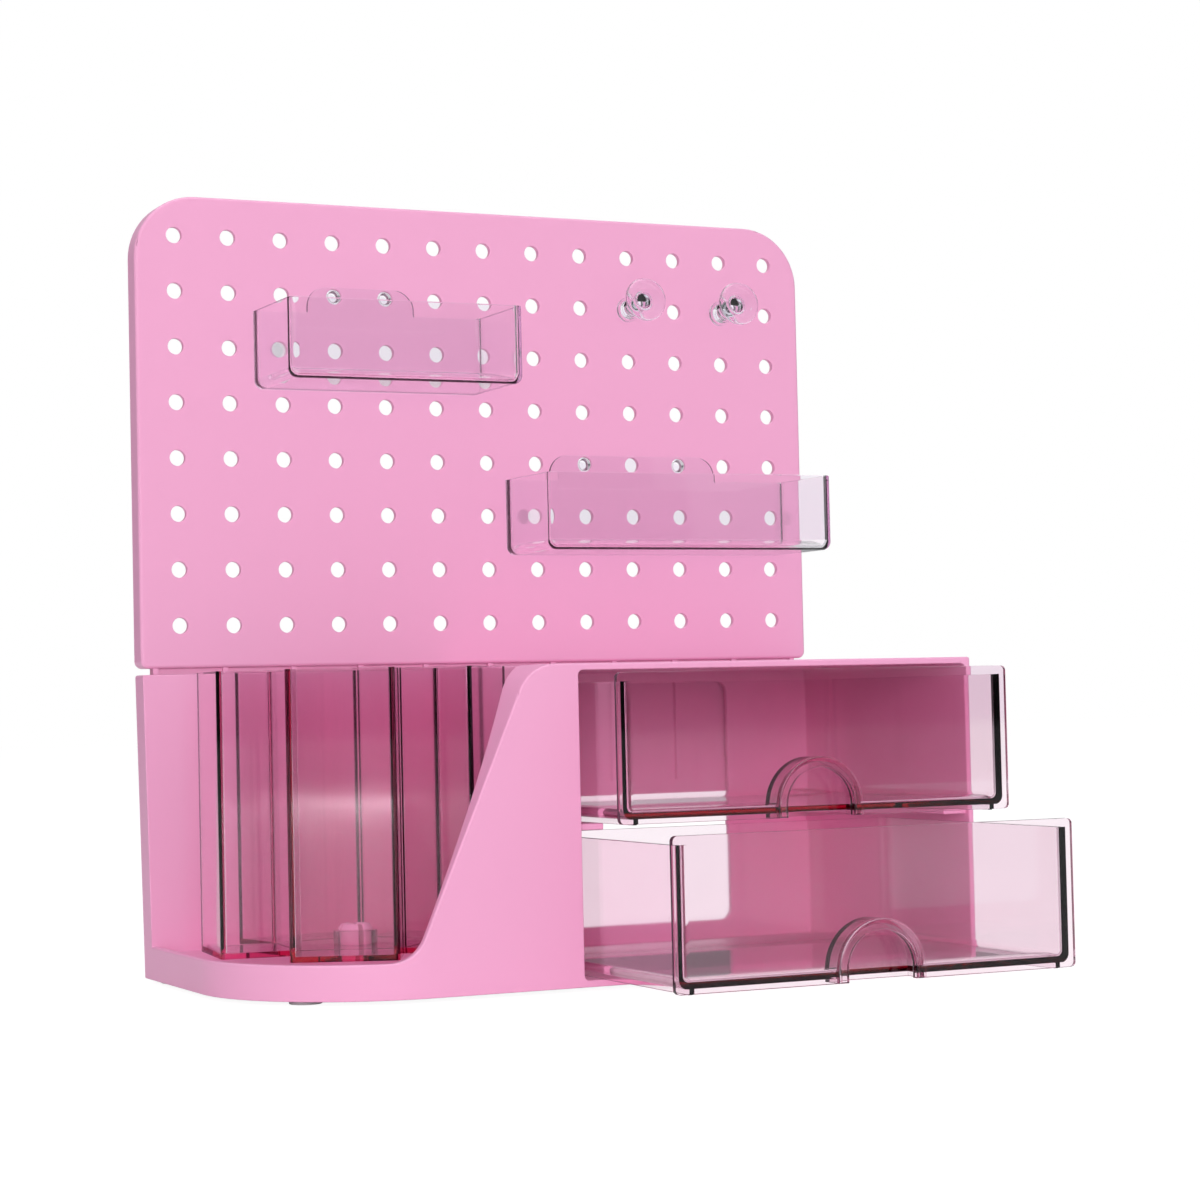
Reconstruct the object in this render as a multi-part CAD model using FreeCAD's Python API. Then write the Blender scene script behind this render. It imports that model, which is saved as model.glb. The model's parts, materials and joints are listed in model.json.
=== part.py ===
"""Pegboard desk organizer: a moulded base with two drawers, a turning pen holder, and a plug-in pegboard.

Lengths are in millimetres. X runs across the front, +Y to the back and +Z up. Z = 0 is the desk.
While the pieces are made, Y = 0 is the front face of the base; write() then moves the origin to the
middle of the whole object.
"""
import FreeCAD, Part
import math
import os
from FreeCAD import Vector

# --- Driving dimensions -------------------------------------------------------------------------

# Peg grid
hole_pitch = 22.0
hole_columns = 13
hole_rows = 8
hole_diameter = 6.4

# Pegboard
board_side_margin = 16.0
board_bottom_margin = 16.6
board_top_margin = 15.8
board_wall = 2.5
board_depth = 10.0
board_top_corner = 25.0
board_bottom_corner = 3.0
board_inner_corner = 0.5
board_edge_round = 1.4
board_rib = 2.0
board_rib_depth = 5.0
board_gap = 2.5
tongue_thickness = 3.0
tongue_length = 56.0
tongue_end_gap = 2.5
tongue_corner = 8.0
tongue_rib_width = 2.2
tongue_rib_count = 11

# Base
base_height = 118.4
wall = 2.5
side_lean = 2.0
base_corner = 1.2
base_edge_round = 0.9
bay_edge_round = 0.5
front_corner = 66.0
pocket_depth = 9.3
pocket_clearance = 0.4
rail_height = 25.0
stop_rib_count = 3

# Pen bay
rim_wall = 3.0
rim_height = 13.0
well_floor_drop = 2.5
slope_foot_gap = 2.4
slope_run = 46.4
slope_foot_round = 14.0
slope_head_round = 16.0

# Pen holder
lobe_count = 5
lobe_width = 39.6
lobe_reach = 55.2
lobe_corner = 1.6
lobe_inner_corner = 0.6
core_corner = 1.0
holder_wall = 2.0
holder_turn = 29.6
holder_left_gap = 1.6
holder_right_gap = 2.3
holder_front_gap = 6.5
holder_back_gap = 2.5
holder_lift = 0.3
hub_height = 7.0
hub_wall = 2.2
post_diameter = 12.0
post_running_gap = 0.08
post_barb = 0.8
post_slot = 1.6
thrust_ring_radius = 15.0
rest_gap = 0.1

# Drawers
front_thickness = 2.4
front_side_gap = 1.2
front_bottom_gap = 0.5
front_top_gap = 1.4
front_between_gap = 2.5
front_corner_round = 2.0
drawer_wall = 2.0
drawer_side_inset = 2.0
drawer_floor_lift = 1.7
drawer_rim_drop = 3.3
drawer_inner_round = 2.5
drawer_stop_gap = 1.4
drawer_proud = 2.4
runner_inset = 6.0
runner_width = 1.8
ledge_width = 10.0
ledge_thickness = 2.4
arch_radius = 17.8
arch_bead = 3.9
arch_wall = 1.8
arch_leg = 4.3
arch_depth = 11.0
arch_proud = 0.8
bead_round = 0.7
upper_open = 27.6
lower_open = 68.6
window_side_margin = 38.5
window_bottom_margin = 7.8
window_top_margin = 4.4
window_corner = 5.0

# Trays and knobs
tray_wall = 1.8
tray_depth = 45.0
tray_height = 31.2
tray_drop = 6.9
tab_rise = 3.8
tab_corner = 8.5
short_tray_width = 98.0
short_tray_shift = 4.0
short_tab_width = 45.7
short_tray_first_column = 3
short_tray_last_column = 4
short_tray_row = 6
long_tray_width = 129.6
long_tray_shift = 6.7
long_tab_width = 77.0
long_tray_first_column = 8
long_tray_last_column = 10
long_tray_row = 3
tray_corner = 3.5
peg_diameter = 5.0
peg_tail = 4.0
peg_tip_round = 1.5
seat_gap = 0.1
knob_peg_diameter = 5.8
knob_tip_chamfer = 1.2
knob_collar_radius = 5.2
knob_collar_thickness = 1.6
knob_step_radius = 4.1
knob_step_length = 2.2
knob_stem_radius = 3.4
knob_stem_length = 8.8
knob_flare_radius = 4.4
knob_flare_length = 2.1
knob_head_radius = 9.1
knob_head_length = 7.2
knob_rim_round = 2.1
knob_dish = 1.4
knob_tilt = 7.5
knob_row = 6
left_knob_column = 9
right_knob_column = 11

# Feet
foot_diameter = 12.0
foot_height = 1.5
foot_inset = 4.0

# Working margins: how far a cutting solid runs past what it cuts, and how near a plane an edge on it lies
past = 5.0
on_plane = 1e-3

# --- Derived sizes and places -------------------------------------------------------------------

width = (hole_columns - 1) * hole_pitch + 2 * board_side_margin
left = -width / 2
right = width / 2
bottom = foot_height
top = bottom + base_height

holder_radius = math.hypot(lobe_reach, lobe_width / 2)
holder_x = left + rim_wall + holder_left_gap + holder_radius
holder_y = rim_wall + holder_front_gap + holder_radius
well_radius = holder_radius + holder_front_gap
skin_y = holder_y + holder_radius + holder_back_gap
back = skin_y + wall + pocket_depth
partition_x = holder_x + holder_radius + holder_right_gap

bay_left = partition_x + wall
bay_right = right - wall
bay_floor = bottom + wall
bay_ceiling = top - wall

rim_top = bottom + rim_height
well_floor = rim_top - well_floor_drop
slope_foot_x = holder_x - slope_foot_gap
slope_head_x = slope_foot_x + slope_run

front_height = (bay_ceiling - bay_floor - front_bottom_gap - front_between_gap - front_top_gap) / 2
lower_front_bottom = bay_floor + front_bottom_gap
upper_front_bottom = lower_front_bottom + front_height + front_between_gap
front_left = bay_left + front_side_gap
front_right = bay_right - front_side_gap
drawer_depth = skin_y - drawer_stop_gap + drawer_proud

board_bottom = top + board_gap
board_top = board_bottom + board_bottom_margin + (hole_rows - 1) * hole_pitch + board_top_margin
board_back = back
board_front = board_back - board_depth
first_row_z = board_bottom + board_bottom_margin
first_column_x = left + board_side_margin
tongue_y = board_front + board_wall
tongue_bottom = top - tongue_length
tongue_half_width = right - wall - tongue_end_gap

object_front = -drawer_proud - arch_proud - lower_open
object_back = back
frame_shift = Vector(0, -(object_front + object_back) / 2, 0)


# --- Shape helpers ------------------------------------------------------------------------------

def plan(u, v):
    """A point of a level outline, seen from above."""
    return Vector(u, v, 0)


def elevation(u, v):
    """A point of an upright outline, seen from the front."""
    return Vector(u, 0, v)


def outline(corners, to_space):
    """Closed wire through (u, v, radius) corners, each one rounded by a tangent arc."""
    entries = []
    arcs = []
    exits = []
    for index, (u, v, radius) in enumerate(corners):
        here = Vector(u, v, 0)
        before = Vector(*corners[index - 1][:2], 0)
        after = Vector(*corners[(index + 1) % len(corners)][:2], 0)
        to_before = (before - here).normalize()
        to_after = (after - here).normalize()
        half_angle = to_before.getAngle(to_after) / 2
        reach = radius / math.tan(half_angle)
        entries.append(here + to_before * reach)
        exits.append(here + to_after * reach)
        bisector = (to_before + to_after).normalize()
        arcs.append(here + bisector * (radius / math.sin(half_angle) - radius))
    edges = []
    for index, corner in enumerate(corners):
        start = exits[index - 1]
        end = entries[index]
        if start.distanceToPoint(end) > 1e-6:
            edges.append(Part.makeLine(to_space(start.x, start.y), to_space(end.x, end.y)))
        if corner[2] > 0:
            middle = arcs[index]
            leave = exits[index]
            arc = Part.Arc(to_space(end.x, end.y), to_space(middle.x, middle.y), to_space(leave.x, leave.y))
            edges.append(arc.toShape())
    return Part.Wire(Part.__sortEdges__(edges))


def level_prism(corners, z0, z1):
    """Solid between two heights with a plan outline."""
    face = Part.Face(outline(corners, plan))
    face.translate(Vector(0, 0, z0))
    return face.extrude(Vector(0, 0, z1 - z0))


def upright_prism(corners, y0, y1):
    """Solid between two depths with a front-view outline."""
    face = Part.Face(outline(corners, elevation))
    face.translate(Vector(0, y0, 0))
    return face.extrude(Vector(0, y1 - y0, 0))


def block(x0, x1, y0, y1, z0, z1):
    """Box between two corners."""
    return Part.makeBox(x1 - x0, y1 - y0, z1 - z0, Vector(x0, y0, z0))


def rectangle(u0, u1, v0, v1, radius=0.0, top_radius=None):
    """Corners of a rectangle; the two high-v corners may have a radius of their own."""
    high = radius if top_radius is None else top_radius
    return [(u0, v0, radius), (u1, v0, radius), (u1, v1, high), (u0, v1, high)]


def upright_post(x, y, radius, z0, z1):
    """Vertical cylinder."""
    return Part.makeCylinder(radius, z1 - z0, Vector(x, y, z0))


def fillet_where(shape, radius, test):
    """Round the edges whose bounding box passes the test."""
    edges = [edge for edge in shape.Edges if test(edge.BoundBox)]
    return shape.makeFillet(radius, edges)


def write(name, shape):
    """Move a finished piece into the object's frame and export it."""
    placed = shape.copy()
    placed.translate(frame_shift)
    placed.exportStep("parts/" + name + ".step")


# --- Base ---------------------------------------------------------------------------------------

def footprint(inset, lean):
    """Plan outline of the base: square behind, with one large round corner at the front left."""
    return [
        (left + inset + lean, back - inset, base_corner),
        (left + inset + lean, inset, front_corner - inset),
        (right - inset, inset, base_corner),
        (right - inset, back - inset, base_corner),
    ]


def leaning_body():
    """Outer form of the base: its left side leans in towards the bottom."""
    low = outline(footprint(0, side_lean), plan)
    low.translate(Vector(0, 0, bottom))
    high = outline(footprint(0, 0), plan)
    high.translate(Vector(0, 0, top))
    return Part.makeLoft([low, high], True, True)


def side_profile(inset):
    """Front view of what stands below the rim, the slope and the top, drawn in by an inset."""
    rise = top - rim_top
    slope_length = math.hypot(slope_run, rise)
    foot_angle = math.atan2(rise, slope_run)
    foot_shift = inset * math.tan(foot_angle / 2)
    sideways = inset * slope_length / rise
    low = rim_top - inset
    high = top - inset
    foot_x = slope_foot_x + foot_shift
    head_x = slope_foot_x + sideways + (high - rim_top) / rise * slope_run
    return [
        (left - past, bottom - past, 0),
        (partition_x, bottom - past, 0),
        (partition_x, high, 0),
        (head_x, high, slope_head_round - inset),
        (foot_x, low, slope_foot_round + inset),
        (left - past, low, 0),
    ]


def pen_well():
    """Space round the pen holder inside the rim: round in front on the right, square elsewhere."""
    z1 = top + past
    inside = level_prism(footprint(rim_wall, side_lean), well_floor, z1)
    inside = inside.common(block(left, partition_x, 0, skin_y, well_floor, z1))
    left_half = block(left, holder_x, 0, skin_y, well_floor, z1)
    round_bay = upright_post(holder_x, holder_y, well_radius, well_floor, z1)
    behind = block(holder_x, partition_x, holder_y, skin_y, well_floor, z1)
    return inside.common(left_half.fuse([round_bay, behind]))


def ramp_hollow():
    """Space under the slope, between the front face, the round bay and the partition."""
    under_slope = upright_prism(side_profile(wall), wall, holder_y)
    beside_well = block(holder_x, partition_x, wall, holder_y, bottom - past, top)
    round_wall = upright_post(holder_x, holder_y, well_radius + wall, bottom - past, top)
    return under_slope.common(beside_well).cut(round_wall)


def floor_hollow():
    """Space under the floor of the pen bay."""
    underside = level_prism(footprint(rim_wall, side_lean), bottom - past, well_floor - wall)
    return underside.common(block(left, partition_x, 0, skin_y, bottom - past, top))


def drawer_ledges():
    """Ledges on both sides of the bay for the runners of the upper drawer; the lower one has the floor."""
    ledge_top = upper_front_bottom - front_bottom_gap
    ledges = []
    for x0 in (bay_left, bay_right - ledge_width):
        ledges.append(block(x0, x0 + ledge_width, wall, skin_y, ledge_top - ledge_thickness, ledge_top))
    return ledges


def tongue_pocket():
    """Space behind the base's back wall: a slot at the top, open to the back below the rail."""
    inner_left = left + side_lean + wall
    slot = block(inner_left, bay_right, skin_y + wall, back - wall, bay_floor, top + past)
    open_back = block(inner_left, bay_right, skin_y + wall, back + past, bay_floor, top - rail_height)
    return slot.fuse(open_back)


def stop_ribs():
    """Upright ribs behind the back wall; the tongue of the pegboard rests on their tops."""
    spacing = (partition_x - left) / stop_rib_count
    places = [left + spacing / 2 + spacing * index for index in range(stop_rib_count)]
    places.append(bay_right - window_side_margin / 2)
    y0 = skin_y + wall
    y1 = back - wall
    return [block(x - wall / 2, x + wall / 2, y0, y1, bay_floor, tongue_bottom - rest_gap) for x in places]


def pivot_post():
    """Split snap post for the pen holder, with the ring that the holder turns on."""
    holder_bottom = rim_top + holder_lift
    barb_start = holder_bottom + hub_height + rest_gap
    radius = post_diameter / 2
    barb_radius = radius + post_barb
    shaft = upright_post(holder_x, holder_y, radius, well_floor - wall, barb_start)
    foot = Vector(holder_x, holder_y, barb_start)
    barb = Part.makeCone(barb_radius, radius - post_barb, 3 * post_barb, foot)
    post = shaft.fuse(barb)
    slot_bottom = holder_bottom
    for half_x, half_y in ((post_slot / 2, radius * 2), (radius * 2, post_slot / 2)):
        post = post.cut(block(holder_x - half_x, holder_x + half_x, holder_y - half_y, holder_y + half_y,
                              slot_bottom, barb_start + post_diameter))
    ring = upright_post(holder_x, holder_y, thrust_ring_radius, well_floor - wall, holder_bottom - rest_gap)
    ring = ring.cut(upright_post(holder_x, holder_y, thrust_ring_radius - wall, well_floor, holder_bottom))
    return [post, ring]


def foot_places():
    """Centres of the four feet; the front left one sits inside the large round corner."""
    inset = foot_inset + foot_diameter / 2
    diagonal = (front_corner - inset) * math.sqrt(0.5)
    corner_x = left + side_lean + front_corner
    return {
        "front_left_foot": (corner_x - diagonal, front_corner - diagonal),
        "front_right_foot": (right - inset, inset),
        "rear_left_foot": (left + side_lean + inset, back - inset),
        "rear_right_foot": (right - inset, back - inset),
    }


def foot_bosses():
    """Solid seats above the feet that stand under the hollow floor of the pen bay."""
    bosses = []
    for name in ("front_left_foot", "rear_left_foot"):
        x, y = foot_places()[name]
        bosses.append(upright_post(x, y, foot_diameter / 2 + wall / 2, bottom, well_floor))
    return bosses


def outer_form():
    """Solid form of the base with its rim, its slope and the rounded edge that runs along both."""
    above = upright_prism(rectangle(left - past, partition_x, bottom - 2 * past, top + past), -past, skin_y)
    form = leaning_body().cut(above.cut(upright_prism(side_profile(0), -past, skin_y)))
    return fillet_where(form, base_edge_round, lambda box: box.ZMin > top - on_plane and box.YMax < on_plane)


def drawer_bay():
    """Space for the drawers, with the rounding of the edge of its mouth."""
    bay = rectangle(bay_left, bay_right, bay_floor, bay_ceiling, front_corner_round)
    space = upright_prism(bay, 0, skin_y)
    frame = block(bay_left - wall, bay_right + wall, 0, wall, bay_floor - wall, bay_ceiling + wall)
    rounded = fillet_where(frame.cut(space), bay_edge_round, mouth_edge)
    return space.fuse(frame.cut(rounded))


def mouth_edge(box):
    """True for the edges of the bay's mouth on the front face."""
    mouth = FreeCAD.BoundBox(bay_left, -on_plane, bay_floor, bay_right, on_plane, bay_ceiling)
    mouth.enlarge(on_plane)
    return mouth.isInside(box)


def back_window():
    """Opening through the back wall of the drawer bay."""
    window = rectangle(bay_left + window_side_margin, bay_right - window_side_margin,
                       bay_floor + window_bottom_margin, bay_ceiling - window_top_margin, window_corner)
    return upright_prism(window, skin_y - past, skin_y + wall + pocket_depth / 2)


def base_housing():
    """The moulding that carries everything else."""
    body = outer_form().cut(drawer_bay())
    body = body.cut(pen_well())
    body = body.cut(floor_hollow())
    body = body.cut(ramp_hollow())
    body = body.cut(tongue_pocket())
    body = body.cut(back_window())
    body = body.fuse(drawer_ledges() + stop_ribs() + foot_bosses() + pivot_post())
    return body.removeSplitter()


# --- Pegboard -----------------------------------------------------------------------------------

def column_x(index):
    return first_column_x + index * hole_pitch


def row_z(index):
    return first_row_z + index * hole_pitch


def board_outline(inset, low_corner):
    """Front view of the pegboard, drawn in by an inset."""
    return rectangle(left + inset, right - inset, board_bottom + inset, board_top - inset,
                     low_corner, board_top_corner - inset)


def board_ribs():
    """Stiffening ribs behind the board, half way between rows and columns of holes."""
    y1 = board_front + board_wall + board_rib_depth
    ribs = []
    for index in (hole_columns // 4, hole_columns - 2 - hole_columns // 4):
        x = column_x(index) + hole_pitch / 2
        ribs.append(block(x - board_rib / 2, x + board_rib / 2, tongue_y, y1, board_bottom, board_top))
    z = row_z(hole_rows // 2) - hole_pitch / 2
    ribs.append(block(left, right, tongue_y, y1, z - board_rib / 2, z + board_rib / 2))
    inside = upright_prism(board_outline(board_wall / 2, board_inner_corner), board_front, back)
    return [rib.common(inside) for rib in ribs]


def tongue():
    """Plate below the board that plugs into the pocket of the base, ribbed on its front."""
    y0 = tongue_y + pocket_clearance
    y1 = y0 + tongue_thickness
    corners = rectangle(-tongue_half_width, tongue_half_width, tongue_bottom, board_bottom + board_wall,
                        tongue_corner, 0)
    pieces = [upright_prism(corners, y0, y1)]
    rib_front = skin_y + wall + pocket_clearance
    rib_back = y0 + tongue_thickness / 2
    rib_top = board_bottom + board_wall
    span = 2 * tongue_half_width - tongue_rib_width
    for index in range(tongue_rib_count):
        x0 = span * index / (tongue_rib_count - 1) - tongue_half_width
        pieces.append(block(x0, x0 + tongue_rib_width, rib_front, rib_back,
                            tongue_bottom + tongue_corner, rib_top))
    return pieces


def pegboard_panel():
    """Panel with its returned rim, its grid of holes and its tongue."""
    panel = upright_prism(board_outline(0, board_bottom_corner), board_front, board_back)
    panel = fillet_where(panel, board_edge_round, lambda box: box.YMax < board_front + on_plane)
    hollow = board_outline(board_wall, board_inner_corner)
    panel = panel.cut(upright_prism(hollow, board_front + board_wall, board_back + past))
    panel = panel.fuse(board_ribs() + tongue())
    holes = []
    for column in range(hole_columns):
        for row in range(hole_rows):
            start = Vector(column_x(column), board_front - past, row_z(row))
            holes.append(Part.makeCylinder(hole_diameter / 2, board_wall + 2 * past, start, Vector(0, 1, 0)))
    return panel.cut(Part.makeCompound(holes)).removeSplitter()


# --- Drawers ------------------------------------------------------------------------------------

def arch_section(x, z, radius, y0, y1, drop=0.0):
    """Solid with the front view of the finger arch: a half round on two legs, which a drop makes longer."""
    legs = block(x - radius, x + radius, y0, y1, z - drop, z + arch_leg)
    disc = Part.makeCylinder(radius, y1 - y0, Vector(x, y0, z + arch_leg), Vector(0, 1, 0))
    return legs.fuse(disc.common(block(x - radius, x + radius, y0, y1, z + arch_leg, z + arch_leg + radius)))


def drawer_box(z0):
    """Open box of a drawer behind its front, with its two runners."""
    x0 = front_left + drawer_side_inset
    x1 = front_right - drawer_side_inset
    floor = z0 + drawer_floor_lift
    rim = z0 + front_height - drawer_rim_drop
    y1 = drawer_depth - drawer_proud
    outer_round = drawer_inner_round + drawer_wall / 2
    outer = block(x0, x1, -drawer_proud, y1, floor, rim + outer_round)
    outer = fillet_where(outer, outer_round,
                         lambda box: box.ZMax < floor + on_plane or box.YMin > y1 - on_plane)
    outer = outer.common(block(x0, x1, -drawer_proud, y1, floor, rim))
    inner_front = front_thickness - drawer_proud
    inner_top = rim + outer_round + past
    inner = block(x0 + drawer_wall, x1 - drawer_wall, inner_front, y1 - drawer_wall,
                  floor + drawer_wall, inner_top)
    inner = fillet_where(inner, drawer_inner_round, lambda box: box.ZMin < inner_top - on_plane)
    runner_bottom = z0 - front_bottom_gap + rest_gap
    runners = []
    for start in (front_left + runner_inset, front_right - runner_inset - runner_width):
        runners.append(block(start, start + runner_width, inner_front, y1 - outer_round,
                             runner_bottom, floor + drawer_wall / 2))
    return outer.cut(inner).fuse(runners)


def drawer(z0, opened):
    """One drawer, pulled forward by the given distance."""
    middle = (front_left + front_right) / 2
    front_y = -drawer_proud
    plate_corners = rectangle(front_left, front_right, z0, z0 + front_height, front_corner_round)
    plate = upright_prism(plate_corners, front_y, front_y + front_thickness)
    body = drawer_box(z0).fuse(plate)
    tunnel_end = front_y + arch_depth
    body = body.fuse(arch_section(middle, z0, arch_radius, front_y, tunnel_end))
    inside = arch_section(middle, z0, arch_radius - arch_wall, front_y - past, tunnel_end - arch_wall, past)
    body = body.cut(inside)
    bead_front = front_y - arch_proud
    bead = arch_section(middle, z0, arch_radius, bead_front, front_y + front_thickness)
    bead = bead.cut(arch_section(middle, z0, arch_radius - arch_bead, front_y - past, front_y + past, past))
    bead = fillet_where(bead, bead_round, lambda box: box.YMax < bead_front + on_plane)
    body = body.fuse(bead).removeSplitter()
    body.translate(Vector(0, -opened, 0))
    return body


# --- Pen holder ---------------------------------------------------------------------------------

def star_outline(inset):
    """Plan outline of the pen holder round its own centre: square lobes with a notch between them."""
    half = lobe_width / 2 - inset
    reach = lobe_reach - inset
    corner = lobe_inner_corner if inset else lobe_corner
    step = 2 * math.pi / lobe_count
    notch = half / math.sin(step / 2)
    corners = []
    for index in range(lobe_count):
        direction = math.radians(holder_turn) + index * step
        along = Vector(math.cos(direction), math.sin(direction), 0)
        across = Vector(-along.y, along.x, 0)
        for side in (-1, 1):
            point = along * reach + across * (side * half)
            corners.append((point.x, point.y, corner))
        angle = direction + step / 2
        corners.append((notch * math.cos(angle), notch * math.sin(angle), holder_wall / 2 + inset))
    return corners


def core_outline(inset):
    """Plan outline of the core: the polygon through the notches, drawn in by an inset."""
    step = 2 * math.pi / lobe_count
    notch = lobe_width / 2 / math.sin(step / 2)
    radius = notch - inset / math.cos(step / 2)
    corners = []
    for index in range(lobe_count):
        angle = math.radians(holder_turn) + (index + 0.5) * step
        corners.append((radius * math.cos(angle), radius * math.sin(angle), core_corner))
    return corners


def pen_holder():
    """Cup with one compartment in each lobe and one in the core, which turns on the base's post."""
    low = rim_top + holder_lift
    floor = low + holder_wall
    cup = level_prism(star_outline(0), low, top)
    room = level_prism(star_outline(holder_wall), floor, top + past)
    core = level_prism(core_outline(0), floor - holder_wall / 2, top)
    core = core.cut(level_prism(core_outline(holder_wall), floor, top + past))
    cup = cup.cut(room.cut(core))
    bore = post_diameter / 2 + post_running_gap
    hub = upright_post(0, 0, bore + hub_wall, low, low + hub_height)
    cup = cup.fuse(hub).cut(upright_post(0, 0, bore, low - past, top))
    cup.translate(Vector(holder_x, holder_y, 0))
    return cup.removeSplitter()


# --- Trays and knobs ----------------------------------------------------------------------------

def peg(x, z):
    """Round peg of a tray, which goes through a hole of the board and ends in a rounded tip."""
    y0 = board_front - seat_gap - tray_wall / 2
    y1 = board_front + board_wall + peg_tail
    pin = Part.makeCylinder(peg_diameter / 2, y1 - y0, Vector(x, y0, z), Vector(0, 1, 0))
    return fillet_where(pin, peg_tip_round, lambda box: box.YMin > y1 - on_plane)


def tray(width_over, shift, tab_width, first_column, last_column, row):
    """Open tray with a tab and two pegs, hung on one row of holes."""
    peg_places = [column_x(first_column), column_x(last_column)]
    middle = sum(peg_places) / 2
    x0 = middle + shift - width_over / 2
    x1 = x0 + width_over
    z1 = row_z(row) - tray_drop
    z0 = z1 - tray_height
    y1 = board_front - seat_gap
    y0 = y1 - tray_depth
    outer = block(x0, x1, y0, y1, z0, z1 + tray_corner)
    outer = fillet_where(outer, tray_corner,
                         lambda box: box.ZLength > tray_height and box.YMax < y1 - on_plane)
    outer = fillet_where(outer, tray_corner,
                         lambda box: box.ZMax < z0 + on_plane and box.YMin < y1 - on_plane)
    outer = outer.common(block(x0, x1, y0, y1, z0, z1))
    inner_top = z1 + tray_corner + past
    inner = block(x0 + tray_wall, x1 - tray_wall, y0 + tray_wall, y1 - tray_wall, z0 + tray_wall, inner_top)
    inner = fillet_where(inner, tray_corner - tray_wall / 2, lambda box: box.ZMin < inner_top - on_plane)
    tab_outline = rectangle(middle - tab_width / 2, middle + tab_width / 2,
                            z1 - tab_corner, row_z(row) + tab_rise, 0, tab_corner)
    pieces = [upright_prism(tab_outline, y1 - tray_wall, y1)]
    for x in peg_places:
        pieces.append(peg(x, row_z(row)))
    return outer.cut(inner).fuse(pieces).removeSplitter()


def turned(edges):
    """Solid of revolution round the Y axis through the origin; x is the radius."""
    profile = Part.Face(Part.Wire(edges))
    return profile.revolve(Vector(0, 0, 0), Vector(0, 1, 0), 360)


def straight_run(points):
    """Edges that join (radius, y) points one after another."""
    places = [Vector(radius, y, 0) for radius, y in points]
    return [Part.makeLine(start, end) for start, end in zip(places, places[1:])]


def curve(start, middle, end):
    """Arc through three (radius, y) points."""
    return Part.Arc(*[Vector(radius, y, 0) for radius, y in (start, middle, end)]).toShape()


def knob_mount(front, collar):
    """Peg, collar and step of a knob, square to the board."""
    tail = board_front + board_wall + peg_tail
    radius = knob_peg_diameter / 2
    return turned(straight_run([
        (0, tail),
        (radius - knob_tip_chamfer, tail),
        (radius, tail - knob_tip_chamfer),
        (radius, front),
        (knob_collar_radius, front),
        (knob_collar_radius, collar),
        (knob_step_radius, collar),
        (knob_step_radius, collar - knob_step_length),
        (0, collar - knob_step_length),
        (0, tail),
    ]))


def knob_grip(root):
    """Stem and dished head of a knob, from its root towards the front."""
    neck = root - knob_step_length - knob_stem_length
    face = neck - knob_head_length
    head_edge = knob_head_radius - knob_rim_round
    rim_back = (head_edge, face + 2 * knob_rim_round)
    rim_middle = (knob_head_radius, face + knob_rim_round)
    dish_radius = (head_edge ** 2 + knob_dish ** 2) / (2 * knob_dish)
    half_turn = math.asin(head_edge / dish_radius) / 2
    dish_depth = knob_dish - dish_radius * (1 - math.cos(half_turn))
    stem_end = (knob_stem_radius, neck)
    edges = straight_run([(0, face + knob_dish), (0, root), (knob_stem_radius, root), stem_end])
    edges.append(curve(stem_end, (knob_flare_radius, neck - knob_flare_length), rim_back))
    edges.append(curve(rim_back, rim_middle, (head_edge, face)))
    dish_middle = (dish_radius * math.sin(half_turn), face + dish_depth)
    edges.append(curve((head_edge, face), dish_middle, (0, face + knob_dish)))
    return turned(edges)


def knob(column, row):
    """Mushroom knob: its grip leans up a little so that what hangs on it stays on."""
    front = board_front - seat_gap
    collar = front - knob_collar_thickness
    grip = knob_grip(collar)
    grip.rotate(Vector(0, collar, 0), Vector(1, 0, 0), -knob_tilt)
    solid = knob_mount(front, collar).fuse(grip).removeSplitter()
    solid.translate(Vector(column_x(column), 0, row_z(row)))
    return solid


# --- All pieces ---------------------------------------------------------------------------------

def main():
    os.makedirs("parts", exist_ok=True)
    write("base_housing", base_housing())
    write("pegboard_panel", pegboard_panel())
    write("upper_drawer", drawer(upper_front_bottom, upper_open))
    write("lower_drawer", drawer(lower_front_bottom, lower_open))
    write("pen_holder", pen_holder())
    write("short_tray", tray(short_tray_width, short_tray_shift, short_tab_width,
                             short_tray_first_column, short_tray_last_column, short_tray_row))
    write("long_tray", tray(long_tray_width, long_tray_shift, long_tab_width,
                            long_tray_first_column, long_tray_last_column, long_tray_row))
    write("left_knob", knob(left_knob_column, knob_row))
    write("right_knob", knob(right_knob_column, knob_row))
    for name, (x, y) in foot_places().items():
        write(name, upright_post(x, y, foot_diameter / 2, 0, foot_height))


main()
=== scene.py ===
"""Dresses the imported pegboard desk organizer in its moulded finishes, and sets its stage.

Lengths are in metres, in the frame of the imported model.
"""
import json
import math

import bpy
from bpy.props import FloatProperty, FloatVectorProperty, IntProperty, PointerProperty
from mathutils import Matrix, Vector
from mathutils.bvhtree import BVHTree


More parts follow.
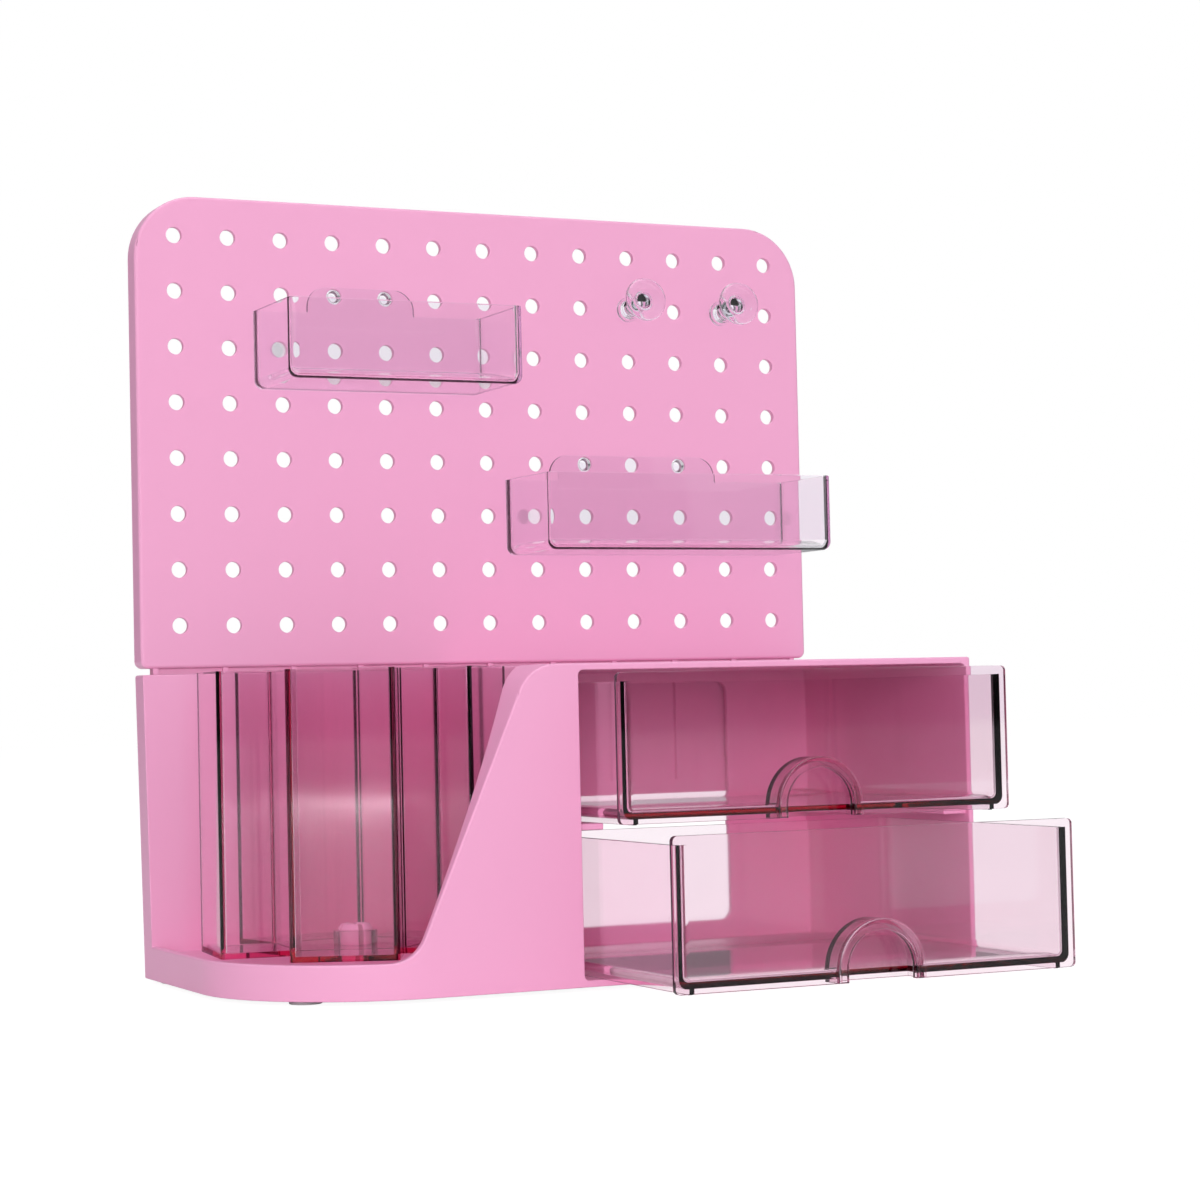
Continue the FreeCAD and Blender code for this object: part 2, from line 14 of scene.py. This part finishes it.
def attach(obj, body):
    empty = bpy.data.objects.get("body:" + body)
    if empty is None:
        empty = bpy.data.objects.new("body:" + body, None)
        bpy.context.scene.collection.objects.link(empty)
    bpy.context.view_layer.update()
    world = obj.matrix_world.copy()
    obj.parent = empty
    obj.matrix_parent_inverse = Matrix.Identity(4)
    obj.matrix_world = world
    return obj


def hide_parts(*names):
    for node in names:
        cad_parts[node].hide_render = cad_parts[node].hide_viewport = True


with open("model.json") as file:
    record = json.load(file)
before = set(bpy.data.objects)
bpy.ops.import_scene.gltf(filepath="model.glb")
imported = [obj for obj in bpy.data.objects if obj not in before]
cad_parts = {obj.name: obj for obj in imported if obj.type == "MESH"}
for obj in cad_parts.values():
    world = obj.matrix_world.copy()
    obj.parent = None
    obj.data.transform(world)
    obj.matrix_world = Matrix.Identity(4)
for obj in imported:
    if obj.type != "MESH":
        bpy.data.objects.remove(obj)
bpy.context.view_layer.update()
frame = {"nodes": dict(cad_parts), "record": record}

bl_info = {
    "name": "Pegboard Desk Organizer",
    "version": (1, 0, 0),
    "blender": (4, 5, 0),
    "location": "View3D > Sidebar > Organizer",
    "description": "Finishes and stage for a desk organizer with a pegboard and drawers",
    "category": "Object",
}

MILLIMETRE = 0.001

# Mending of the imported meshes: points that are one, faces that are one flat, edges that are sharp,
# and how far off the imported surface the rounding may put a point
SAME_POINT = 0.002 * MILLIMETRE
SAME_FLAT = math.radians(0.4)
SHARP_EDGE = math.radians(32)
STRAY_LIMIT = 0.3 * MILLIMETRE

# Noises: features to the metre, octaves, and roughness of the octaves
CLOUD = (9.0, 3.0, 0.5)
SWIRL = (34.0, 4.0, 0.55)
MOULD_GRAIN = (2600.0, 2.0, 0.6)
FLOW = (26.0, 2.0, 0.5)
MARKS = (420.0, 5.0, 0.7)
TOOTH = (1800.0, 4.0, 0.6)

# What the noises do: shares of colour, steps of roughness, and depths of relief
CLOUD_SHARE = 0.015
SWIRL_ROUGHNESS = 0.08
GRAIN_ROUGHNESS = 0.05
GRAIN_DEPTH = 0.006 * MILLIMETRE
MARK_ROUGHNESS = 0.035
FLOW_DEPTH = 0.05 * MILLIMETRE
FLOW_STRENGTH = 0.5
SMOKY_STREAKS = 0.03
CLEAR_STREAKS = 0.01
TOOTH_SHARE = 0.15
TOOTH_ROUGHNESS = 0.15
TOOTH_DEPTH = 0.05 * MILLIMETRE

# Skin of gloss on the pink mouldings
PINK_IOR = 1.52
PINK_COAT = 0.12
PINK_COAT_ROUGHNESS = 0.22

# Floor: how pale its paper is, and how strongly and how far it glows where it is looked at
FLOOR_PAPER = (0.86, 0.86, 0.86)
FLOOR_GLOW = 1.17
FLOOR_GLOW_SHARE = 0.8

# Lamps: place, target, size, power and colour
MIDDLE = (0.0, 0.0, 0.15)
FRONT_TARGET = (0.0, 0.0, 0.1)
WHITE = (1.0, 1.0, 1.0)
LAMPS = {
    "key_lamp": ((-1.5, -1.5, 1.1), MIDDLE, 1.2, 5.0, (1.0, 0.985, 0.97)),
    "fill_lamp": ((1.5, -1.4, 0.8), MIDDLE, 1.4, 3.5, (0.97, 0.98, 1.0)),
    "top_lamp": ((-0.2, -0.1, 1.9), MIDDLE, 1.3, 10.0, WHITE),
    "front_lamp": ((-0.8, -2.05, 0.25), FRONT_TARGET, 0.9, 28.0, WHITE),
    "back_lamp": ((1.0, 2.0, 1.1), MIDDLE, 1.4, 8.0, WHITE),
}
NOT_MIRRORED = ("front_lamp",)
SENSOR_WIDTH = 36.0


# --- Shader helpers -----------------------------------------------------------------------------

class Signal:
    """A socket of a shader tree that can be used in arithmetic."""

    def __init__(self, recipe, socket):
        self.recipe = recipe
        self.socket = socket

    def _math(self, operation, first, second):
        inputs = {0: first, 1: second}
        return self.recipe.node("ShaderNodeMath", {"operation": operation}, inputs).out(0)

    def __add__(self, other):
        return self._math("ADD", self, other)

    def __radd__(self, other):
        return self._math("ADD", other, self)

    def __sub__(self, other):
        return self._math("SUBTRACT", self, other)

    def __mul__(self, other):
        return self._math("MULTIPLY", self, other)


class Made:
    """A node that was just made, with its outputs as signals."""

    def __init__(self, recipe, node):
        self.recipe = recipe
        self.raw = node

    def out(self, key):
        return Signal(self.recipe, self.raw.outputs[key])


class Recipe:
    """The node tree of one material, or of the world."""

    def __init__(self, owner, output):
        owner.use_nodes = True
        self.owner = owner
        self.tree = owner.node_tree
        self.tree.nodes.clear()
        self.output = self.tree.nodes.new(output)

    @classmethod
    def of_material(cls, name):
        """Recipe of a new material."""
        return cls(bpy.data.materials.new(name), "ShaderNodeOutputMaterial")

    def node(self, kind, settings=None, inputs=None):
        """Adds one node: its settings first, then the values or links of its sockets."""
        made = self.tree.nodes.new(kind)
        for key, value in (settings or {}).items():
            setattr(made, key, value)
        for key, value in (inputs or {}).items():
            socket = made.inputs[key]
            if isinstance(value, Signal):
                self.tree.links.new(value.socket, socket)
            else:
                socket.default_value = value
        return Made(self, made)

    def place(self):
        """Object coordinates."""
        return self.node("ShaderNodeTexCoord").out("Object")

    def noise(self, scale, detail, roughness):
        """Noise between 0 and 1 over the piece, with a scale in features to the metre."""
        inputs = {"Vector": self.place(), "Scale": scale, "Detail": detail, "Roughness": roughness}
        return self.node("ShaderNodeTexNoise", None, inputs).out("Fac")

    def blend(self, factor, first, second):
        """Mix of two colours."""
        inputs = {"Factor": factor, 6: first, 7: second}
        return self.node("ShaderNodeMix", {"data_type": "RGBA"}, inputs).out(2)

    def bump(self, height, depth, strength=1.0):
        """Normal raised by a height between 0 and 1 to a depth in metres."""
        inputs = {"Height": height, "Distance": depth, "Strength": strength}
        return self.node("ShaderNodeBump", None, inputs).out("Normal")

    def mixed(self, factor, first, second):
        """Mix of two shaders."""
        return self.node("ShaderNodeMixShader", None, {0: factor, 1: first.out(0), 2: second.out(0)})

    def finish(self, surface, volume=None):
        """Links the surface, and what fills the piece."""
        self.tree.links.new(surface.socket, self.output.inputs["Surface"])
        if volume is not None:
            self.tree.links.new(volume.socket, self.output.inputs["Volume"])
        return self.owner


def opaque(colour):
    """A colour with full alpha."""
    return (colour[0], colour[1], colour[2], 1.0)


def shaded(colour, share):
    """A colour made darker or lighter by a share."""
    return (colour[0] * share, colour[1] * share, colour[2] * share, 1.0)


# --- Modelling helpers --------------------------------------------------------------------------

def select_only(piece):
    """Makes one object the only selected and the active one."""
    bpy.ops.object.select_all(action="DESELECT")
    piece.select_set(True)
    bpy.context.view_layer.objects.active = piece


def moulded_copy(node, radius, segments):
    """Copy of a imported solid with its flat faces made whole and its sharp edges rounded."""
    source = frame["nodes"][node]
    piece = bpy.data.objects.new(node + "_moulding", source.data.copy())
    bpy.context.scene.collection.objects.link(piece)
    select_only(piece)
    bpy.ops.mesh.customdata_custom_splitnormals_clear()
    bpy.ops.object.mode_set(mode="EDIT")
    bpy.ops.mesh.select_all(action="SELECT")
    bpy.ops.mesh.remove_doubles(threshold=SAME_POINT)
    bpy.ops.mesh.dissolve_limited(angle_limit=SAME_FLAT)
    bpy.ops.object.mode_set(mode="OBJECT")
    bpy.ops.object.shade_smooth()
    bevel = piece.modifiers.new("rounded_edges", "BEVEL")
    bevel.width = radius
    bevel.segments = segments
    bevel.limit_method = "ANGLE"
    bevel.angle_limit = SHARP_EDGE
    bevel.use_clamp_overlap = False
    bevel.miter_outer = "MITER_ARC"
    bpy.ops.object.modifier_apply(modifier=bevel.name)
    settle_strays(piece, source)
    flats = piece.modifiers.new("flat_faces", "WEIGHTED_NORMAL")
    flats.keep_sharp = True
    bpy.ops.object.modifier_apply(modifier=flats.name)
    return piece


def settle_strays(piece, source):
    """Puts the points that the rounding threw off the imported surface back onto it."""
    source.data.calc_loop_triangles()
    places = [vertex.co for vertex in source.data.vertices]
    faces = [tuple(face.vertices) for face in source.data.loop_triangles]
    surface = BVHTree.FromPolygons(places, faces)
    for vertex in piece.data.vertices:
        nearest, _, _, distance = surface.find_nearest(vertex.co)
        if distance > STRAY_LIMIT:
            vertex.co = nearest


def body_of(node):
    """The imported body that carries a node."""
    for body, members in frame["record"]["behaviour"]["bodies"].items():
        if node in members:
            return body
    raise RuntimeError("no body carries " + node)


def dress(node, material, radius):
    """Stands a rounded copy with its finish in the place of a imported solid."""
    piece = moulded_copy(node, radius, bpy.context.scene.organizer_stage.segments)
    piece.data.materials.clear()
    piece.data.materials.append(material)
    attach(piece, body_of(node))
    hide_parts(node)
    return piece


# --- Finishes -----------------------------------------------------------------------------------

def pink_moulding(name, finish):
    """Satin pink plastic: a faint cloudiness, a fine moulded grain, and a soft skin of gloss."""
    recipe = Recipe.of_material(name)
    cloud = recipe.noise(*CLOUD)
    grain = recipe.noise(*MOULD_GRAIN)
    swirl = recipe.noise(*SWIRL)
    darker = shaded(finish.colour, 1.0 - CLOUD_SHARE)
    lighter = shaded(finish.colour, 1.0 + CLOUD_SHARE)
    roughness = finish.roughness + (swirl - 0.5) * SWIRL_ROUGHNESS + (grain - 0.5) * GRAIN_ROUGHNESS
    surface = recipe.node("ShaderNodeBsdfPrincipled", None, {
        "Base Color": recipe.blend(cloud, darker, lighter),
        "Roughness": roughness,
        "IOR": PINK_IOR,
        "Coat Weight": PINK_COAT,
        "Coat Roughness": PINK_COAT_ROUGHNESS,
        "Normal": recipe.bump(grain, GRAIN_DEPTH),
    })
    return recipe.finish(surface.out("BSDF"))


def clear_moulding(name, finish, tint_streaks):
    """Clear plastic, darkened by its depth, with faint flow lines and fine handling marks.

    Its skins pass the light of lamps, and light that has bounced, straight on.
    """
    recipe = Recipe.of_material(name)
    flow = recipe.noise(*FLOW)
    marks = recipe.noise(*MARKS)
    streak = shaded(finish.surface_tint, 1.0 - tint_streaks)
    surface = recipe.node("ShaderNodeBsdfPrincipled", None, {
        "Base Color": recipe.blend(flow, streak, opaque(finish.surface_tint)),
        "Roughness": finish.roughness + marks * MARK_ROUGHNESS,
        "IOR": finish.ior,
        "Transmission Weight": 1.0,
        "Normal": recipe.bump(flow, FLOW_DEPTH, FLOW_STRENGTH),
    })
    inside = recipe.node("ShaderNodeVolumeAbsorption", None, {
        "Color": opaque(finish.depth_tint),
        "Density": finish.density,
    })
    path = recipe.node("ShaderNodeLightPath")
    passed = recipe.node("ShaderNodeBsdfTransparent", None, {"Color": opaque(finish.shadow_tint)})
    skin = recipe.mixed(path.out("Is Shadow Ray"), surface, passed)
    skin = recipe.mixed(path.out("Is Diffuse Ray"), skin, passed)
    return recipe.finish(skin.out(0), inside.out("Volume"))


def rubber(name, finish):
    """Matt rubber with a fine tooth."""
    recipe = Recipe.of_material(name)
    tooth = recipe.noise(*TOOTH)
    darker = shaded(finish.colour, 1.0 - TOOTH_SHARE)
    lighter = shaded(finish.colour, 1.0 + TOOTH_SHARE)
    surface = recipe.node("ShaderNodeBsdfPrincipled", None, {
        "Base Color": recipe.blend(tooth, darker, lighter),
        "Roughness": finish.roughness + tooth * TOOTH_ROUGHNESS,
        "Normal": recipe.bump(tooth, TOOTH_DEPTH),
    })
    return recipe.finish(surface.out("BSDF"))


def finish_of(name, make, *settings):
    """The material of that name, made once."""
    return bpy.data.materials.get(name) or make(name, *settings)


# --- Settings -----------------------------------------------------------------------------------

class OrganizerPink(bpy.types.PropertyGroup):
    """The opaque pink mouldings."""
    colour: FloatVectorProperty(
        name="Colour", description="Colour of the pink plastic", subtype="COLOR",
        min=0.0, max=1.0, default=(0.865, 0.39, 0.61))
    roughness: FloatProperty(
        name="Roughness", description="Roughness of the satin skin", min=0.0, max=1.0, default=0.38)
    edge: FloatProperty(
        name="Edge", description="Rounding of the base's edges", unit="LENGTH",
        default=0.45 * MILLIMETRE)
    board_edge: FloatProperty(
        name="Board edge", description="Rounding of the pegboard's holes and ribs", unit="LENGTH",
        default=0.15 * MILLIMETRE)


class OrganizerSmoky(bpy.types.PropertyGroup):
    """The smoky clear drawers and pen holder."""
    surface_tint: FloatVectorProperty(
        name="Surface tint", description="Tint taken by light at the skin", subtype="COLOR",
        min=0.0, max=1.0, default=(0.98, 0.96, 0.975))
    depth_tint: FloatVectorProperty(
        name="Depth tint", description="Colour that the plastic's depth lets through", subtype="COLOR",
        min=0.0, max=1.0, default=(0.92, 0.15, 0.5))
    density: FloatProperty(
        name="Density", description="How fast depth darkens, to the metre", default=50.0)
    shadow_tint: FloatVectorProperty(
        name="Shadow tint", description="Share of light that each skin passes on", subtype="COLOR",
        min=0.0, max=1.0, default=(1.0, 0.975, 0.985))
    roughness: FloatProperty(
        name="Roughness", description="Roughness of the polished skin", min=0.0, max=1.0, default=0.02)
    ior: FloatProperty(
        name="Refraction", description="Index of refraction", default=1.5)
    edge: FloatProperty(
        name="Edge", description="Rounding of the edges", unit="LENGTH", default=0.12 * MILLIMETRE)


class OrganizerClear(bpy.types.PropertyGroup):
    """The water-clear trays and knobs."""
    surface_tint: FloatVectorProperty(
        name="Surface tint", description="Tint taken by light at the skin", subtype="COLOR",
        min=0.0, max=1.0, default=(0.995, 0.993, 0.998))
    depth_tint: FloatVectorProperty(
        name="Depth tint", description="Colour that the plastic's depth lets through", subtype="COLOR",
        min=0.0, max=1.0, default=(0.45, 0.38, 0.75))
    density: FloatProperty(
        name="Density", description="How fast depth darkens, to the metre", default=9.0)
    shadow_tint: FloatVectorProperty(
        name="Shadow tint", description="Share of light that each skin passes on", subtype="COLOR",
        min=0.0, max=1.0, default=(0.995, 0.995, 1.0))
    roughness: FloatProperty(
        name="Roughness", description="Roughness of the polished skin", min=0.0, max=1.0, default=0.015)
    ior: FloatProperty(
        name="Refraction", description="Index of refraction", default=1.5)
    edge: FloatProperty(
        name="Edge", description="Rounding of the edges", unit="LENGTH", default=0.3 * MILLIMETRE)


class OrganizerFeet(bpy.types.PropertyGroup):
    """The rubber feet."""
    colour: FloatVectorProperty(
        name="Colour", description="Colour of the rubber", subtype="COLOR",
        min=0.0, max=1.0, default=(0.55, 0.53, 0.54))
    roughness: FloatProperty(
        name="Roughness", description="Roughness of the rubber", min=0.0, max=1.0, default=0.7)
    edge: FloatProperty(
        name="Edge", description="Rounding of the edges", unit="LENGTH", default=0.3 * MILLIMETRE)


class OrganizerStage(bpy.types.PropertyGroup):
    """Floor, light and camera."""
    floor_size: FloatProperty(
        name="Floor size", description="Side of the floor", unit="LENGTH", default=14.0)
    lens: FloatProperty(
        name="Lens", description="Focal length of the camera", subtype="DISTANCE_CAMERA", default=83.886)
    camera_place: FloatVectorProperty(
        name="Camera place", description="Where the camera stands", subtype="TRANSLATION",
        default=(-0.4511, -0.9643, 0.1065))
    sight: FloatVectorProperty(
        name="Sight", description="Direction that the camera looks in", subtype="XYZ",
        default=(0.42688, 0.90361, 0.03546))
    upright: FloatVectorProperty(
        name="Upright", description="Direction that is up in the picture", subtype="XYZ",
        default=(0.00536, -0.04175, 0.99911))
    segments: IntProperty(
        name="Edge segments", description="Facets across each rounded edge", default=2, min=1)
    room: FloatVectorProperty(
        name="Room", description="Colour of the light from all round", subtype="COLOR",
        min=0.0, max=1.0, default=(0.95, 0.96, 1.0))
    room_light: FloatProperty(
        name="Room light", description="Strength of the light from all round", default=0.40)
    seen_through: FloatVectorProperty(
        name="Seen through", description="Colour of the room behind clear plastic", subtype="COLOR",
        min=0.0, max=1.0, default=(0.95, 0.90, 0.96))
    gloss_low: FloatProperty(
        name="Low gloss", description="Strength of the room in reflections near the horizon",
        default=0.05)
    gloss_high: FloatProperty(
        name="High gloss", description="Strength of the room in reflections from above", default=1.0)
    gloss_height: FloatProperty(
        name="Gloss height", description="Upward slant at which reflections see the full strength",
        default=0.8)


# --- Pieces -------------------------------------------------------------------------------------

class ORGANIZER_OT_base(bpy.types.Operator):
    """Dress the pink base with its drawer bay, slope and pen bay"""
    bl_idname = "organizer.base"
    bl_label = "Base"

    def execute(self, context):
        finish = context.scene.organizer_pink
        material = finish_of("satin_pink", pink_moulding, finish)
        dress("base_housing", material, finish.edge)
        return {"FINISHED"}


class ORGANIZER_OT_pegboard(bpy.types.Operator):
    """Dress the pink panel with its grid of holes"""
    bl_idname = "organizer.pegboard"
    bl_label = "Pegboard"

    def execute(self, context):
        finish = context.scene.organizer_pink
        material = finish_of("satin_pink", pink_moulding, finish)
        dress("pegboard_panel", material, finish.board_edge)
        return {"FINISHED"}


class ORGANIZER_OT_drawers(bpy.types.Operator):
    """Dress the two smoky drawers"""
    bl_idname = "organizer.drawers"
    bl_label = "Drawers"

    def execute(self, context):
        finish = context.scene.organizer_smoky
        material = finish_of("smoky_plastic", clear_moulding, finish, SMOKY_STREAKS)
        for node in ("upper_drawer", "lower_drawer"):
            dress(node, material, finish.edge)
        return {"FINISHED"}


class ORGANIZER_OT_pen_holder(bpy.types.Operator):
    """Dress the smoky pen holder"""
    bl_idname = "organizer.pen_holder"
    bl_label = "Pen holder"

    def execute(self, context):
        finish = context.scene.organizer_smoky
        material = finish_of("smoky_plastic", clear_moulding, finish, SMOKY_STREAKS)
        dress("pen_holder", material, finish.edge)
        return {"FINISHED"}


class ORGANIZER_OT_trays(bpy.types.Operator):
    """Dress the two clear trays"""
    bl_idname = "organizer.trays"
    bl_label = "Trays"

    def execute(self, context):
        finish = context.scene.organizer_clear
        material = finish_of("clear_plastic", clear_moulding, finish, CLEAR_STREAKS)
        for node in ("short_tray", "long_tray"):
            dress(node, material, finish.edge)
        return {"FINISHED"}


class ORGANIZER_OT_knobs(bpy.types.Operator):
    """Dress the two clear knobs"""
    bl_idname = "organizer.knobs"
    bl_label = "Knobs"

    def execute(self, context):
        finish = context.scene.organizer_clear
        material = finish_of("clear_plastic", clear_moulding, finish, CLEAR_STREAKS)
        for node in ("left_knob", "right_knob"):
            dress(node, material, finish.edge)
        return {"FINISHED"}


class ORGANIZER_OT_feet(bpy.types.Operator):
    """Dress the four rubber feet"""
    bl_idname = "organizer.feet"
    bl_label = "Feet"

    def execute(self, context):
        finish = context.scene.organizer_feet
        material = finish_of("foot_rubber", rubber, finish)
        for node in ("front_left_foot", "front_right_foot", "rear_left_foot", "rear_right_foot"):
            dress(node, material, finish.edge)
        return {"FINISHED"}


# --- Stage --------------------------------------------------------------------------------------

def floor_finish():
    """Pale floor, white to the eye and through clear plastic, with the object's shadow kept."""
    recipe = Recipe.of_material("floor")
    paper = recipe.node("ShaderNodeBsdfDiffuse", None, {"Color": opaque(FLOOR_PAPER)})
    glow = recipe.node("ShaderNodeEmission", None, {"Color": opaque(WHITE), "Strength": FLOOR_GLOW})
    factors = {0: in_plain_sight(recipe), 1: FLOOR_GLOW_SHARE}
    share = recipe.node("ShaderNodeMath", {"operation": "MULTIPLY", "use_clamp": True}, factors)
    return recipe.finish(recipe.mixed(share.out(0), paper, glow).out(0))


def backdrop(recipe, colour, strength):
    """Background shader of one colour."""
    return recipe.node("ShaderNodeBackground", None, {"Color": opaque(colour), "Strength": strength})


def surround(stage):
    """World that lights plainly, is white to the camera, and is a pale room to plastic and gloss."""
    world = bpy.data.worlds.new("surround")
    bpy.context.scene.world = world
    recipe = Recipe(world, "ShaderNodeOutputWorld")
    path = recipe.node("ShaderNodeLightPath")
    direction = recipe.node("ShaderNodeTexCoord").out("Generated")
    rise = recipe.node("ShaderNodeMapRange", None, {
        "Value": recipe.node("ShaderNodeSeparateXYZ", None, {0: direction}).out("Z"),
        "From Min": 0.0,
        "From Max": stage.gloss_height,
        "To Min": stage.gloss_low,
        "To Max": stage.gloss_high,
    })
    plain = backdrop(recipe, stage.room, stage.room_light)
    view = backdrop(recipe, stage.seen_through, 1.0)
    gloss = backdrop(recipe, stage.room, rise.out("Result"))
    white = backdrop(recipe, WHITE, 1.0)
    seen = recipe.mixed(path.out("Is Glossy Ray"), plain, gloss)
    seen = recipe.mixed(in_plain_sight(recipe), seen, view)
    seen = recipe.mixed(path.out("Is Camera Ray"), seen, white)
    recipe.finish(seen.out(0))


def in_plain_sight(recipe):
    """One for what the camera sees straight on or through clear plastic, and zero after a bounce."""
    path = recipe.node("ShaderNodeLightPath")
    bounces = path.out("Diffuse Depth") + path.out("Glossy Depth")
    straight = recipe.node("ShaderNodeMath", {"operation": "LESS_THAN"}, {0: bounces, 1: 0.5}).out(0)
    return straight * (path.out("Is Camera Ray") + path.out("Is Transmission Ray"))


def lamp(name, place, target, size, power, colour):
    """Square soft lamp that looks at a target."""
    light = bpy.data.lights.new(name, "AREA")
    light.shape = "SQUARE"
    light.size = size
    light.energy = power
    light.color = colour
    holder = bpy.data.objects.new(name, light)
    bpy.context.scene.collection.objects.link(holder)
    holder.location = place
    holder.rotation_euler = (Vector(target) - Vector(place)).to_track_quat("-Z", "Y").to_euler()
    holder.visible_transmission = False
    holder.visible_glossy = name not in NOT_MIRRORED


class ORGANIZER_OT_stage(bpy.types.Operator):
    """Lay the floor, hang the lamps and stand the camera"""
    bl_idname = "organizer.stage"
    bl_label = "Stage"

    def execute(self, context):
        stage = context.scene.organizer_stage
        bpy.ops.object.select_all(action="DESELECT")
        bpy.ops.mesh.primitive_plane_add(size=stage.floor_size, location=(0.0, 0.0, 0.0))
        floor = context.active_object
        floor.name = "floor"
        floor.data.materials.append(floor_finish())
        surround(stage)
        for name, settings in LAMPS.items():
            lamp(name, *settings)
        sight = Vector(stage.sight).normalized()
        upright = Vector(stage.upright).normalized()
        right = sight.cross(upright).normalized()
        upright = right.cross(sight)
        camera = bpy.data.objects.new("camera", bpy.data.cameras.new("camera"))
        context.scene.collection.objects.link(camera)
        turn = Matrix((right, upright, -sight)).transposed().to_4x4()
        camera.matrix_world = Matrix.Translation(stage.camera_place) @ turn
        camera.data.sensor_width = SENSOR_WIDTH
        camera.data.lens = stage.lens
        context.scene.camera = camera
        context.scene.view_settings.view_transform = "Standard"
        return {"FINISHED"}


class ORGANIZER_PT_panel(bpy.types.Panel):
    """Lists the organizer's pieces"""
    bl_label = "Desk Organizer"
    bl_idname = "ORGANIZER_PT_panel"
    bl_space_type = "VIEW_3D"
    bl_region_type = "UI"
    bl_category = "Organizer"

    def draw(self, context):
        for operator in PIECES:
            self.layout.operator(operator.bl_idname)


PIECES = (
    ORGANIZER_OT_base,
    ORGANIZER_OT_pegboard,
    ORGANIZER_OT_drawers,
    ORGANIZER_OT_pen_holder,
    ORGANIZER_OT_trays,
    ORGANIZER_OT_knobs,
    ORGANIZER_OT_feet,
    ORGANIZER_OT_stage,
)
GROUPS = {
    "organizer_pink": OrganizerPink,
    "organizer_smoky": OrganizerSmoky,
    "organizer_clear": OrganizerClear,
    "organizer_feet": OrganizerFeet,
    "organizer_stage": OrganizerStage,
}


def register():
    for group in GROUPS.values():
        bpy.utils.register_class(group)
    for name, group in GROUPS.items():
        setattr(bpy.types.Scene, name, PointerProperty(type=group))
    for operator in PIECES:
        bpy.utils.register_class(operator)
    bpy.utils.register_class(ORGANIZER_PT_panel)


def unregister():
    bpy.utils.unregister_class(ORGANIZER_PT_panel)
    for operator in reversed(PIECES):
        bpy.utils.unregister_class(operator)
    for name, group in GROUPS.items():
        delattr(bpy.types.Scene, name)
        bpy.utils.unregister_class(group)


def main():
    register()
    bpy.ops.organizer.base()
    bpy.ops.organizer.pegboard()
    bpy.ops.organizer.drawers()
    bpy.ops.organizer.pen_holder()
    bpy.ops.organizer.trays()
    bpy.ops.organizer.knobs()
    bpy.ops.organizer.feet()
    bpy.ops.organizer.stage()


if __name__ == "__main__":
    main()
